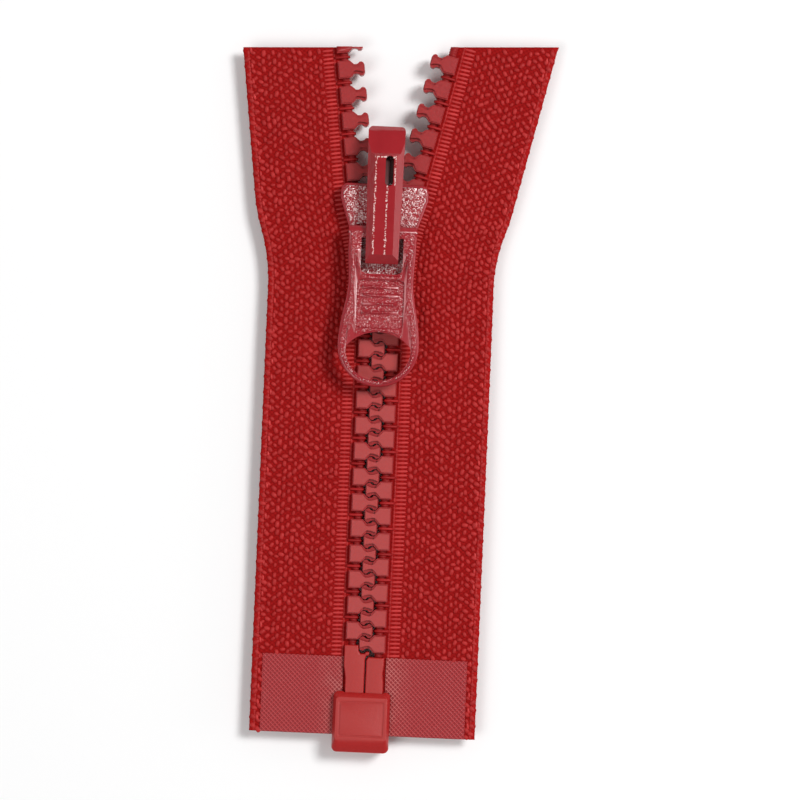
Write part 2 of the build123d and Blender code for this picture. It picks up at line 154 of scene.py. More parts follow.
def station(side, along):
    """Spread from the chain axis, height and outward turn, a distance along the stringer."""
    steep, start = LEAD[side]
    wing = WING_ANGLE[side]
    first = LEAD_RADIUS * steep
    second = LEAD_RADIUS * (steep - wing)
    run = along - start
    if run <= 0:
        return 0.0, along, 0.0
    if run <= first:
        turn = run / LEAD_RADIUS
        return LEAD_RADIUS * (1 - math.cos(turn)), start + LEAD_RADIUS * math.sin(turn), turn
    if run <= first + second:
        turn = steep - (run - first) / LEAD_RADIUS
        spread = LEAD_RADIUS * (1 - 2 * math.cos(steep) + math.cos(turn))
        return spread, start + LEAD_RADIUS * (2 * math.sin(steep) - math.sin(turn)), turn
    rest = run - first - second
    return MOUTH_SPREAD + rest * math.sin(wing), MOUTH + rest * math.cos(wing), wing


def turn_at(side, along, across):
    """Outward turn of the cloth: beside the teeth it follows them, and further out it eases."""
    near = station(side, along)[2]
    far = WING_ANGLE[side] * ease(along, *WING_EASE)
    share = ease(across, *STIFF_EDGE)
    return near * (1 - share) + far * share


def ripple(side, along, across):
    """Slight lift and fall of the cloth away from the teeth and the box, as it lies on a table."""
    rise = 0.16
    phase = 0.7 if side == "left" else 2.1
    wave = math.sin(along / 11.0 + phase) * math.sin(across / 5.5 + phase)
    return rise * wave * ease(across, 6.0, 12.0) * ease(along, 11.0, 22.0)


def on_cloth(side, along, across, lift=0.0):
    """A point of the cloth in millimetres, lift above its middle."""
    spread, height, _ = station(side, along)
    turn = turn_at(side, along, across)
    x = SIDES[side] * (spread + across * math.cos(turn))
    y = height - across * math.sin(turn)
    return Vector((x, y, PLANE + ripple(side, along, across) + lift))


def past_cut(point, margin=0.0):
    """Whether a point is above the line where the zipper was cut to length."""
    return point.y > CUT_HEIGHT + CUT_SLOPE * point.x - margin


def end_of_cloth(side, across):
    """How far along the stringer the cut crosses it."""
    along = CUT_HEIGHT
    for _ in range(6):
        point = on_cloth(side, along, across)
        along += CUT_HEIGHT + CUT_SLOPE * point.x - point.y
    return along


# ---- Making objects ---------------------------------------------------------------------------
def piece_from(name, points, faces, smooth=True):
    """A mesh object from millimetre points, scaled to metres."""
    mesh = bpy.data.meshes.new(name)
    mesh.from_pydata([Vector(point) * MM for point in points], [], faces)
    mesh.validate()
    mesh.polygons.foreach_set("use_smooth", [smooth] * len(mesh.polygons))
    made = bpy.data.objects.new(name, mesh)
    bpy.context.scene.collection.objects.link(made)
    return made


def sheet_faces(columns, rows):
    """Faces of a thin closed sheet: a grid of upper points, the lower ones after it, and a rim."""
    width = columns + 1
    count = width * (rows + 1)
    faces = []
    for row in range(rows):
        for column in range(columns):
            corner = row * width + column
            quad = (corner, corner + 1, corner + width + 1, corner + width)
            faces.append(quad)
            faces.append(tuple(index + count for index in reversed(quad)))
    rim = [row * width for row in range(rows, -1, -1)]
    rim += list(range(1, width))
    rim += [row * width + columns for row in range(1, rows + 1)]
    rim += [rows * width + column for column in range(columns - 1, 0, -1)]
    for first, second in zip(rim, rim[1:] + rim[:1]):
        faces.append((second, first, first + count, second + count))
    return faces


def tube_sides(rings, around):
    """Side faces of a tube of rings with this many points around each."""
    faces = []
    for base in range(0, (rings - 1) * around, around):
        for step in range(around):
            follow = (step + 1) % around
            faces.append((base + step, base + follow, base + around + follow, base + around + step))
    return faces


def face_outwards(made):
    """Turn a closed mesh's faces outwards."""
    edit = bmesh.new()
    edit.from_mesh(made.data)
    bmesh.ops.recalc_face_normals(edit, faces=edit.faces)
    edit.to_mesh(made.data)
    edit.free()


def smooth_below(made, degrees):
    """Smooth shading, with edges sharper than this kept crisp."""
    limit = math.radians(degrees)
    edit = bmesh.new()
    edit.from_mesh(made.data)
    for face in edit.faces:
        face.smooth = True
    for edge in edit.edges:
        edge.smooth = len(edge.link_faces) == 2 and edge.calc_face_angle(0) < limit
    edit.to_mesh(made.data)
    edit.free()


def baked(made, name):
    """A plain mesh object with the modifiers of another applied, which is removed."""
    bpy.context.view_layer.update()
    graph = bpy.context.evaluated_depsgraph_get()
    mesh = bpy.data.meshes.new_from_object(
        made.evaluated_get(graph), preserve_all_data_layers=True, depsgraph=graph
    )
    mesh.name = name
    bpy.data.objects.remove(made)
    result = bpy.data.objects.new(name, mesh)
    bpy.context.scene.collection.objects.link(result)
    return result


def trim_at_cut(made):
    """Cut a mesh through where the zipper was cut to length, and close it."""
    edit = bmesh.new()
    edit.from_mesh(made.data)
    cut = bmesh.ops.bisect_plane(
        edit,
        geom=edit.verts[:] + edit.edges[:] + edit.faces[:],
        plane_co=(0, CUT_HEIGHT * MM, 0),
        plane_no=(-CUT_SLOPE, 1, 0),
        clear_outer=True,
    )
    rim = [item for item in cut["geom_cut"] if isinstance(item, bmesh.types.BMEdge)]
    bmesh.ops.holes_fill(edit, edges=rim)
    edit.to_mesh(made.data)
    edit.free()


# ---- Shader arithmetic --------------------------------------------------------------------------
class Value:
    """A shader value used in plain arithmetic."""

    def __init__(self, finish, socket):
        self.finish = finish
        self.socket = socket

    def maths(self, operation, *others):
        node = self.finish.node("Math", {"operation": operation}, *others)
        return Value(self.finish, node.outputs[0])

    def __add__(self, other):
        return self.maths("ADD", self, other)

    def __radd__(self, other):
        return self.maths("ADD", other, self)

    def __sub__(self, other):
        return self.maths("SUBTRACT", self, other)

    def __rsub__(self, other):
        return self.maths("SUBTRACT", other, self)

    def __mul__(self, other):
        return self.maths("MULTIPLY", self, other)

    def __rmul__(self, other):
        return self.maths("MULTIPLY", other, self)

    def sine(self):
        return self.maths("SINE", self)

    def size(self):
        return self.maths("ABSOLUTE", self)

    def power(self, exponent):
        return self.maths("POWER", self, exponent)

    def greater(self, other):
        return self.maths("MAXIMUM", self, other)

    def between(self, start, end):
        """Smooth step of this value from start to end."""
        node = self.finish.node(
            "MapRange", {"interpolation_type": "SMOOTHSTEP"}, self, start, end, 0.0, 1.0
        )
        return Value(self.finish, node.outputs[0])


class Finish:
    """One material and its Principled shader."""

    def __init__(self, name, roughness=0.5, metallic=0.0, **fixed):
        self.material = bpy.data.materials.new(name)
        self.material.use_nodes = True
        self.tree = self.material.node_tree
        self.shader = self.tree.nodes["Principled BSDF"]
        self.set("Roughness", roughness)
        self.set("Metallic", metallic)
        for socket, value in fixed.items():
            self.set(socket.replace("_", " "), value)

    def node(self, kind, settings, *values, **named):
        made = self.tree.nodes.new("ShaderNode" + kind)
        for setting, value in settings.items():
            setattr(made, setting, value)
        for key, value in [*enumerate(values), *named.items()]:
            self.feed(made.inputs[key], value)
        return made

    def feed(self, socket, value):
        if isinstance(value, Value):
            value = value.socket
        if isinstance(value, bpy.types.NodeSocket):
            self.tree.links.new(value, socket)
        else:
            socket.default_value = value

    def set(self, socket, value):
        self.feed(self.shader.inputs[socket], value)

    def place(self):
        """Object coordinates in millimetres."""
        metres = self.node("TexCoord", {}).outputs["Object"]
        return self.node("VectorMath", {"operation": "SCALE"}, metres, Scale=1 / MM).outputs[0]

    def facing(self):
        """How squarely the surface faces straight up or down, from 0 to 1."""
        return self.axes(self.node("TexCoord", {}).outputs["Normal"])[2].size()

    def axes(self, vector):
        split = self.node("SeparateXYZ", {}, vector)
        return [Value(self, split.outputs[index]) for index in range(3)]

    def attribute(self, name):
        return Value(self, self.node("Attribute", {"attribute_name": name}).outputs["Fac"])

    def noise(self, vector, scale, detail=2.0, roughness=0.5):
        made = self.node(
            "TexNoise", {}, Vector=vector, Scale=scale, Detail=detail, Roughness=roughness
        )
        return Value(self, made.outputs["Fac"])

    def mix(self, share, first, second):
        """Colour between two colours."""
        made = self.node("Mix", {"data_type": "RGBA"})
        self.feed(made.inputs["Factor"], share)
        for socket, tint in (("A", first), ("B", second)):
            target = [item for item in made.inputs if item.name == socket and item.type == "RGBA"][0]
            self.feed(target, tint)
        return [item for item in made.outputs if item.type == "RGBA"][0]

    def bump(self, height, distance):
        """Raise the surface by a height from 0 to 1, distance millimetres."""
        made = self.node("Bump", {}, Strength=1.0, Distance=distance * MM, Height=height)
        self.set("Normal", made.outputs["Normal"])


def colour(red, green, blue):
    return (red, green, blue, 1.0)


# ---- Finishes ---------------------------------------------------------------------------------
def ground_cloth_finish():
    """The ground of the woven tape, mostly hidden between the raised yarns, with painted shade in its
    hollows.
    """
    finish = Finish("ground_cloth", roughness=0.8, Specular_IOR_Level=0.1)
    weave = finish.node("UVMap", {"uv_map": "weave"}).outputs[0]
    across, along, _ = finish.axes(weave)
    warp = (across * (2 * math.pi / END)).sine()
    weft = (along * (2 * math.pi / PICK)).sine()
    crossing = warp * weft * 0.5 + 0.5
    plain_edge = across.between(BODY_WEAVE[1], BODY_WEAVE[1] + 0.3)
    fibres = finish.noise(finish.place(), 6.0)
    # The mix follows the weave's height: darker in its hollows as painted shade, lighter along the
    # plain edge.
    shade = crossing * 0.4 + fibres * 0.3 + plain_edge * 0.3
    dark, light = colour(0.19, 0.001, 0.001), colour(0.46, 0.01, 0.01)
    finish.set("Base Color", finish.mix(shade, dark, light))
    finish.bump(shade, 0.08)
    return finish.material


def yarn_finish(name, dark, light, roughness=0.55):
    """Polyester yarn: fine filaments, a little lighter or darker from float to float."""
    finish = Finish(name, Specular_IOR_Level=0.3)
    shade = finish.attribute("shade")
    filaments = finish.noise(finish.place(), 9.0, 3.0, 0.6)
    finish.set("Base Color", finish.mix(shade * 0.7 + filaments * 0.3, dark, light))
    finish.set("Roughness", roughness + filaments * 0.2 - 0.1)
    finish.bump(filaments, 0.03)
    return finish.material


def film_finish():
    """Thin film welded on the cloth, embossed with fine diagonal lines, with painted glare on them by
    the pins.
    """
    finish = Finish("reinforcing_film", Specular_IOR_Level=0.4)
    across, along, _ = finish.axes(finish.place())
    step = math.pi / FILM_GRID / math.sqrt(2)
    rising = ((across + along) * step).sine().size().power(11.0)
    falling = ((across - along) * step).sine().size().power(11.0)
    lines = rising.greater(falling)
    cloud = finish.noise(finish.place(), 0.5, 3.0)
    pins_half_width = 3.2
    by_pins = 1 - (across.size() - pins_half_width).between(-0.5, 4.5)
    # Painted glare by the pins: in patches it whitens the lines and darkens the cells.
    painted_glare = by_pins * cloud.between(0.2, 0.7)
    cells = finish.mix(painted_glare, colour(0.28, 0.007, 0.011), colour(0.25, 0.01, 0.014))
    ridges = finish.mix(painted_glare, colour(0.54, 0.06, 0.065), colour(0.72, 0.23, 0.21))
    finish.set("Base Color", finish.mix(lines, cells, ridges))
    finish.set("Roughness", 0.38 + cloud * 0.12)
    finish.bump(lines, 0.06)
    return finish.material


def moulded_finish(name, dark, light, pale, flats_above):
    """Moulded acetal, a little waxy, with a pale painted sheen on its raised flats, strongest low
    down.
    """
    finish = Finish(name, Specular_IOR_Level=0.45, Subsurface_Weight=0.25, Subsurface_Scale=0.0008)
    place = finish.place()
    _, along, level = finish.axes(place)
    height = (level - PLANE).size()
    # Strength of the painted sheen: full below the slider stretch, weak above it.
    sheen_strength = 1 - along.between(*SLIDER_STRETCH) * 0.85
    facing = finish.facing()
    # Painted sheen: raised flats facing straight up are lightened towards the pale colour, as a
    # highlight would be.
    painted_sheen = facing.between(0.95, 0.998) * height.between(flats_above - 0.08, flats_above) * sheen_strength
    flow = finish.noise(place, 2.2, 3.0)
    speck = finish.noise(place, 7.0, 2.0)
    body = finish.mix(flow, dark, light)
    finish.set("Base Color", finish.mix(painted_sheen * (0.55 + speck * 0.45), body, pale))
    finish.set("Roughness", 0.28 + painted_sheen * 0.2 + speck * 0.1)
    finish.bump(flow * 0.6 + speck * 0.4, 0.04)
    return finish.material


def paint_finish(name, pebbling_and_glints, grain_size=2.4, sparse=0.0, gloss=0.9):
    """Enamel on a zinc casting: pebbled flats with painted glints, smooth glossy rims."""
    finish = Finish(name, Specular_IOR_Level=gloss)
    place = finish.place()
    facing = finish.facing()
    flat = facing.between(0.985, 0.9995)
    pebble = finish.noise(place, grain_size, 1.0, 0.35)
    tone = finish.noise(place, 0.35, 2.0)
    body = finish.mix(tone, colour(0.3, 0.007, 0.014), colour(0.4, 0.018, 0.028))
    glint = finish.noise(place, 2.2 * grain_size, 0.5)
    # Painted glints: near-white spots on the pebble tops of upward flats, where a lamp would glint.
    painted_glints = (pebble * 0.45 + glint * 0.55).between(0.5 + sparse, 0.6 + sparse) * flat * pebbling_and_glints
    finish.set("Base Color", finish.mix(painted_glints * 0.7, body, colour(1.0, 0.76, 0.75)))
    finish.set("Roughness", 0.2 - flat * 0.08)
    finish.bump(pebble * flat, 0.4 * pebbling_and_glints + 0.005)
    return finish.material


def crown_finish():
    """Smooth glossy enamel, with painted glints dotted along the crests of the crown's top."""
    finish = Finish("crown_enamel", Specular_IOR_Level=0.5)
    place = finish.place()
    across, along, _ = finish.axes(place)
    facing = finish.facing()
    drift = finish.noise(place, 1.1) * 0.5 - 0.25
    left, middle, right, upper = -1.4, 0.35, 1.45, 83.4      # where the crests lie

    def beside(value, line):
        return 1 - (value + drift - line).size().between(0.04, 0.2)

    by_slot = along.between(79.0, 79.5)
    crests = beside(across, left) + beside(across, middle) * (1 - by_slot)
    crests = crests + beside(across, right) * by_slot + beside(along, upper)
    # Painted glints: near-white spots along the crest lines of the top, where the enamel would catch
    # the light.
    painted_crest_glints = finish.noise(place, 5.2, 0.5).between(0.46, 0.56) * crests.between(0.2, 0.8)
    painted_crest_glints = painted_crest_glints * facing.between(0.97, 0.99) * (1 - along.between(upper + 0.3, upper + 0.6))
    tone = finish.noise(place, 0.35, 2.0)
    body = finish.mix(tone, colour(0.28, 0.004, 0.009), colour(0.38, 0.011, 0.018))
    finish.set("Base Color", finish.mix(painted_crest_glints * 0.75, body, colour(1.0, 0.76, 0.72)))
    finish.set("Roughness", 0.16 + tone * 0.06)
    finish.bump(finish.noise(place, 1.6, 1.0), 0.03)
    return finish.material


def spring_finish():
    """Rolled spring strip with fine lengthwise draw lines, tinted by the enamel around it and painted
    dark as shade inside the crown's slot.
    """
    finish = Finish("spring_steel", metallic=1.0)
    across, _, _ = finish.axes(finish.place())
    lines = finish.noise(finish.place(), 0.8, 2.0) * 0.3 + (across * 60.0).sine() * 0.35 + 0.35
    # Both colours are far darker than steel: painted shade inside the slot.
    finish.set("Base Color", finish.mix(lines, colour(0.09, 0.03, 0.03), colour(0.22, 0.11, 0.11)))
    finish.set("Roughness", 0.45 + lines * 0.15)
    return finish.material


GROUND_CLOTH = ground_cloth_finish()
FLOAT_YARN = yarn_finish("float_yarn", colour(0.34, 0.006, 0.006), colour(0.48, 0.018, 0.018))
LADDER_YARN = yarn_finish("ladder_yarn", colour(0.42, 0.016, 0.016), colour(0.6, 0.036, 0.036), 0.45)
CORD_YARN = yarn_finish("cord_yarn", colour(0.26, 0.004, 0.005), colour(0.44, 0.012, 0.014))
FILM = film_finish()
# The pale colour of both mouldings is a painted sheen for their raised flats.
TOOTH_PLASTIC = moulded_finish(
    "moulded_teeth",
    dark=colour(0.28, 0.006, 0.008),
    light=colour(0.4, 0.012, 0.014),
    pale=colour(0.46, 0.048, 0.045),
    flats_above=1.36,
)
END_PLASTIC = moulded_finish(
    "moulded_end_parts",
    dark=colour(0.37, 0.01, 0.01),
    light=colour(0.45, 0.016, 0.015),
    pale=colour(0.43, 0.026, 0.022),
    flats_above=1.1,
)
SLIDER_PAINT = paint_finish("slider_enamel", pebbling_and_glints=1.0)
CROWN_PAINT = crown_finish()
TAB_PAINT = paint_finish("tab_enamel", pebbling_and_glints=0.75, grain_size=2.9, sparse=0.1, gloss=0.65)
SPRING = spring_finish()


# ---- Repeats by Geometry Nodes -------------------------------------------------------------------
def repeat_tree():
    """Tree that sets a shape on every point, turned by the point's own angle and slightly uneven."""
    tree = bpy.data.node_groups.new("repeat_on_tape", "GeometryNodeTree")
    face = tree.interface
    face.new_socket("Geometry", in_out="INPUT", socket_type="NodeSocketGeometry")
    for name, kind in (
        ("Shape", "NodeSocketObject"),
        ("Size", "NodeSocketVector"),
        ("Unevenness", "NodeSocketFloat"),
        ("Seed", "NodeSocketInt"),
        ("Finish", "NodeSocketMaterial"),
    ):
        face.new_socket(name, in_out="INPUT", socket_type=kind)
    face.new_socket("Geometry", in_out="OUTPUT", socket_type="NodeSocketGeometry")

    def node(kind, **settings):
        made = tree.nodes.new(kind)
        for setting, value in settings.items():
            setattr(made, setting, value)
        return made

    def join(source, target):
        tree.links.new(source, target)

    def number(sockets, name="Value"):
        """The float socket of this name, where a node has one for each kind of value."""
        return [item for item in sockets if item.name == name and item.type == "VALUE"][0]

    given = node("NodeGroupInput")
    result = node("NodeGroupOutput")
    shape = node("GeometryNodeObjectInfo")
    join(given.outputs["Shape"], shape.inputs["Object"])
    turn = node("GeometryNodeInputNamedAttribute", data_type="FLOAT")
    turn.inputs["Name"].default_value = "turn"
    wobble = node("FunctionNodeRandomValue", data_type="FLOAT")
    join(given.outputs["Seed"], wobble.inputs["Seed"])
    spread = node("ShaderNodeMath", operation="MULTIPLY_ADD")
    join(number(wobble.outputs), spread.inputs[0])
    join(given.outputs["Unevenness"], spread.inputs[1])
    join(turn.outputs["Attribute"], spread.inputs[2])
    angle = node("ShaderNodeCombineXYZ")
    join(spread.outputs[0], angle.inputs["Z"])
    swell = node("FunctionNodeRandomValue", data_type="FLOAT")
    number(swell.inputs, "Min").default_value = 1.0
    seed_on = node("ShaderNodeMath", operation="ADD")
    join(given.outputs["Seed"], seed_on.inputs[0])
    seed_on.inputs[1].default_value = 7
    join(seed_on.outputs[0], swell.inputs["Seed"])
    most = node("ShaderNodeMath", operation="ADD")
    join(given.outputs["Unevenness"], most.inputs[0])
    most.inputs[1].default_value = 1.0
    join(most.outputs[0], number(swell.inputs, "Max"))
    grow = node("ShaderNodeVectorMath", operation="SCALE")
    join(given.outputs["Size"], grow.inputs[0])
    join(number(swell.outputs), grow.inputs["Scale"])
    on_points = node("GeometryNodeInstanceOnPoints")
    join(given.outputs["Geometry"], on_points.inputs["Points"])
    join(shape.outputs["Geometry"], on_points.inputs["Instance"])
    join(angle.outputs[0], on_points.inputs["Rotation"])
    join(grow.outputs[0], on_points.inputs["Scale"])
    shade = node("FunctionNodeRandomValue", data_type="FLOAT")
    join(given.outputs["Seed"], shade.inputs["Seed"])
    store = node("GeometryNodeStoreNamedAttribute", data_type="FLOAT", domain="INSTANCE")
    store.inputs["Name"].default_value = "shade"
    join(on_points.outputs["Instances"], store.inputs["Geometry"])
    join(number(shade.outputs), number(store.inputs))
    real = node("GeometryNodeRealizeInstances")
    join(store.outputs["Geometry"], real.inputs["Geometry"])
    paint = node("GeometryNodeSetMaterial")
    join(real.outputs["Geometry"], paint.inputs["Geometry"])
    join(given.outputs["Finish"], paint.inputs["Material"])
    join(paint.outputs["Geometry"], result.inputs[0])
    return tree


REPEAT = repeat_tree()
SOCKETS = {
    item.name: item.identifier for item in REPEAT.interface.items_tree if item.in_out == "INPUT"
}


def repeated(name, places, shape, size, finish, seed, unevenness=0.0):
    """One piece with a shape on each place, which is a point and a turn about the upright."""
    carrier = piece_from(name + "_places", [point for point, _ in places], [])
    carrier.data.attributes.new("turn", "FLOAT", "POINT").data.foreach_set(
        "value", [turn for _, turn in places]
    )
    modifier = carrier.modifiers.new("repeat", "NODES")
    modifier.node_group = REPEAT
    modifier[SOCKETS["Shape"]] = shape
    modifier[SOCKETS["Size"]] = [length * MM for length in size]
    modifier[SOCKETS["Unevenness"]] = unevenness
    modifier[SOCKETS["Seed"]] = seed
    modifier[SOCKETS["Finish"]] = finish
    return baked(carrier, name)


def float_shape():
    """A yarn float: a unit ball with few faces, squared off in plan. Its long way is Y."""
    mesh = bpy.data.meshes.new("float_shape")
    edit = bmesh.new()
    bmesh.ops.create_uvsphere(edit, u_segments=8, v_segments=5, radius=1.0)
    for vertex in edit.verts:
        vertex.co.x = math.copysign(abs(vertex.co.x) ** 0.7, vertex.co.x)
        vertex.co.y = math.copysign(abs(vertex.co.y) ** 0.7, vertex.co.y)
    for face in edit.faces:
        face.smooth = True
    edit.to_mesh(mesh)
    edit.free()
    return bpy.data.objects.new("float_shape", mesh)


FLOAT_SHAPE = float_shape()


# ---- Lengths of a stringer, with their placement baked into their meshes ---------------------------
def bend_with(made, length):
    """Bake the placement of a soft or toothed length into its mesh, the same for either length."""
    if length == "lower":
        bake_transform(made)
    else:
        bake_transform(made)
    return made


LENGTHS = {"lower": (TAPE_END, SPLIT), "upper": (SPLIT, None)}


# ---- Ground cloth of the tapes --------------------------------------------------------------------
def ground_cloth(side, length):
    """Closed thin sheet from the cord to the scalloped selvedge."""
    start, end = LENGTHS[length]
    inner = CORD_OFFSET + CORD_RADIUS - 0.25
    thinning = 0.97                 # the sheet thins to its selvedge over the rest of its width
    columns = 34
    rows = 280 if length == "lower" else 400
    points = {1: [], -1: []}
    uvs = []
    for row in range(rows + 1):
        for column in range(columns + 1):
            share = column / columns
            across = inner + (TAPE_WIDTH - inner) * share
            stop = end if end else end_of_cloth(side, across)
            along = start + (stop - start) * row / rows
            if column == columns:
                loop = 0.5 + 0.5 * math.cos(2 * math.pi * along / PICK)
                knot = max(0.0, math.cos(2 * math.pi * along / KNOT_STEP)) ** 4
                across += 0.03 * loop + 0.09 * knot - 0.06
            past = max(0.0, (share - thinning) / (1 - thinning))
            rounding = math.sqrt(max(0.0, 1 - past ** 2))
            half = CLOTH_HALF * (0.35 + 0.65 * rounding)
            for up in (1, -1):
                points[up].append(on_cloth(side, along, across, up * half))
            uvs.append((across, along))
    name = f"{side}_ground_cloth_{length}"
    cloth = piece_from(name, points[1] + points[-1], sheet_faces(columns, rows))
    layer = cloth.data.uv_layers.new(name="weave")
    for loop in cloth.data.loops:
        layer.data[loop.index].uv = uvs[loop.vertex_index % len(uvs)]
    face_outwards(cloth)
    cloth.data.materials.append(GROUND_CLOTH)
    return cloth


# ---- Raised yarns -----------------------------------------------------------------------------------
def within(side, length, point_along):
    """Whether a place along the stringer belongs to this length."""
    start, end = LENGTHS[length]
    return point_along >= start and (end is None or point_along < end)


def weave_places(side, length, up):
    """Places of the body's raised floats: a broken twill that leans one way, then the other.

    Each float strays a little from its place, and now and then one lies across the others.
    """
    places = []
    chance = random.Random(f"{side} {length} {up}")
    start, end = LENGTHS[length]
    columns = int((BODY_WEAVE[1] - BODY_WEAVE[0]) / END) + 1
    first = int(start / FLOAT_STEP) - 1
    last = int((end or LONGEST) / FLOAT_STEP)
    for column in range(columns):
        lean = 1 if (column // TWILL_COLUMNS) % 2 else -1
        for row in range(first, last + 1):
            along = FLOAT_STEP * (row + 0.5 * (column % 2) + chance.uniform(-0.16, 0.16))
            across = BODY_WEAVE[0] + END * (column + 0.5 + chance.uniform(-0.15, 0.15))
            under_film = along < FILM_HIGH.y + 0.1 and across < FILM_HIGH.x + 0.1
            if not within(side, length, along) or under_film:
                continue
            point = on_cloth(side, along, across, up * YARN_LIFT)
            if past_cut(point, 0.55):
                continue
            steep = lean * up * (0.1 + 0.5 * column / columns) + chance.uniform(-0.35, 0.35)
            if chance.random() < 0.15:
                steep += math.pi / 2
            places.append((point, steep - SIDES[side] * turn_at(side, along, across)))
    return places


def ladder_places(side, length, up):
    """Straight weft yarns across the open band beside the teeth."""
    places = []
    for row in range(int(TAPE_END / PICK), int(LONGEST / PICK)):
        along = PICK * (row + 0.25)
        if not within(side, length, along) or along < FILM_HIGH.y + 0.1:
            continue
        middle = sum(LADDER) / 2
        point = on_cloth(side, along, middle, up * YARN_LIFT)
        if past_cut(point, 0.2):
            continue
        places.append((point, math.pi / 2 - SIDES[side] * turn_at(side, along, middle)))
    return places


def edge_places(side, length, up, across, step, shift=0.0):
    """Warp yarns in line along the tape, at one distance from the axis."""
    places = []
    for row in range(int(TAPE_END / step), int(LONGEST / step)):
        along = step * row + shift
        if not within(side, length, along):
            continue
        if along < FILM_HIGH.y + 0.1 and across < FILM_HIGH.x:
            continue
        point = on_cloth(side, along, across, up * WARP_LIFT)
        if past_cut(point, 0.3):
            continue
        places.append((point, -SIDES[side] * turn_at(side, along, across)))
    return places


def raised_yarns(side, length):
    """All raised yarns of one length of tape: floats, ladder, the lines by both, the selvedge."""
    made = []
    for face, up in (("front", 1), ("back", -1)):
        edges = edge_places(side, length, up, LADDER[0] - 0.12, PICK, 0.1)
        edges += edge_places(side, length, up, BODY_WEAVE[1] + 0.25, PICK, 0.2)
        knots = edge_places(side, length, up, BODY_WEAVE[1] - 0.15, KNOT_STEP)
        kinds = (
            ("floats", weave_places(side, length, up), FLOAT_SIZE, FLOAT_YARN, 0.5),
            ("ladder", ladder_places(side, length, up), LADDER_SIZE, LADDER_YARN, 0.05),
            ("edge_yarns", edges, EDGE_SIZE, FLOAT_YARN, 0.1),
            ("selvedge_yarns", knots, SELVEDGE_SIZE, LADDER_YARN, 0.2),
        )
        for count, (kind, places, size, finish, unevenness) in enumerate(kinds):
            name = f"{side}_{kind}_{length}_{face}"
            seed = SEEDS[face] + count
            made.append(repeated(name, places, FLOAT_SHAPE, size, finish, seed, unevenness))
    return made


# ---- Bead cords ------------------------------------------------------------------------------------
def bead_cord(side, length):
    """Cord wrapped with yarn, so that it is ribbed along its length."""
    start, end = LENGTHS[length]
    stop = end or CUT_HEIGHT + 4
    rib, steps, around = 0.4, 5, 14      # one rib's length, rings to a rib, points to a ring
    count = int((stop - start) / rib * steps)
    points = []
    for index in range(count + 1):
        along = start + (stop - start) * index / count
        swell = abs(math.sin(math.pi * along / rib))
        radius = CORD_RADIUS * (0.88 + 0.12 * swell)
        for step in range(around):
            angle = 2 * math.pi * step / around
            across = CORD_OFFSET + radius * math.cos(angle)
            points.append(on_cloth(side, along, across, radius * math.sin(angle)))
    ends = [tuple(range(around)), tuple(range(count * around, (count + 1) * around))]
    faces = ends + tube_sides(count + 1, around)
    cord = piece_from(f"{side}_bead_cord_{length}", points, faces)
    if not end:
        trim_at_cut(cord)
    face_outwards(cord)
    cord.data.materials.append(CORD_YARN)
    return cord


def binding_shape():
    """A loop of yarn over the cord, from the ladder band to the front of the cord."""
    path = [(3.35, 0.2), (3.0, 0.4), (2.55, 0.55), (1.95, 0.64), (1.42, 0.5), (1.22, 0.2)]
    radius, around = 0.22, 8
    points = []
    for index, (across, lift) in enumerate(path):
        before = path[max(index - 1, 0)]
        after = path[min(index + 1, len(path) - 1)]
        along = Vector((after[0] - before[0], 0, after[1] - before[1])).normalized()
        side_way = Vector((0, 1, 0))
        upright = along.cross(side_way)
        for step in range(around):
            angle = 2 * math.pi * step / around
            offset = side_way * math.cos(angle) + upright * math.sin(angle)
            points.append(Vector((across, 0, lift)) + offset * radius)
    ends = [tuple(range(around)), tuple(range(len(points) - around, len(points)))]
    faces = tube_sides(len(path), around) + ends
    mesh = bpy.data.meshes.new("binding_shape")
    mesh.from_pydata(points, [], faces)
    made = bpy.data.objects.new("binding_shape", mesh)
    face_outwards(made)
    for polygon in mesh.polygons:
        polygon.use_smooth = True
    return made


# ---- Teeth -----------------------------------------------------------------------------------------
def outline_block(edit, outline, half_height, bevel):
    """A block of this plan outline, as far above as below, with its sharp edges rounded."""
    lower = [edit.verts.new((x, y, -half_height)) for x, y in outline]
    upper = [edit.verts.new((x, y, half_height)) for x, y in outline]
    made = [edit.faces.new(list(reversed(lower))), edit.faces.new(upper)]
    for index in range(len(outline)):
        follow = (index + 1) % len(outline)
        made.append(edit.faces.new((lower[index], lower[follow], upper[follow], upper[index])))
    edges = {edge for face in made for edge in face.edges}
    sharp = [edge for edge in edges if edge.calc_face_angle(0) > math.radians(35)]
    bmesh.ops.bevel(
        edit, geom=sharp, offset=bevel, segments=2, profile=0.6, affect="EDGES", clamp_overlap=True
    )


def mirrored(outline):
    """An outline and its mirror image across the tooth's middle line."""
    return outline + [(x, -y) for x, y in reversed(outline)]


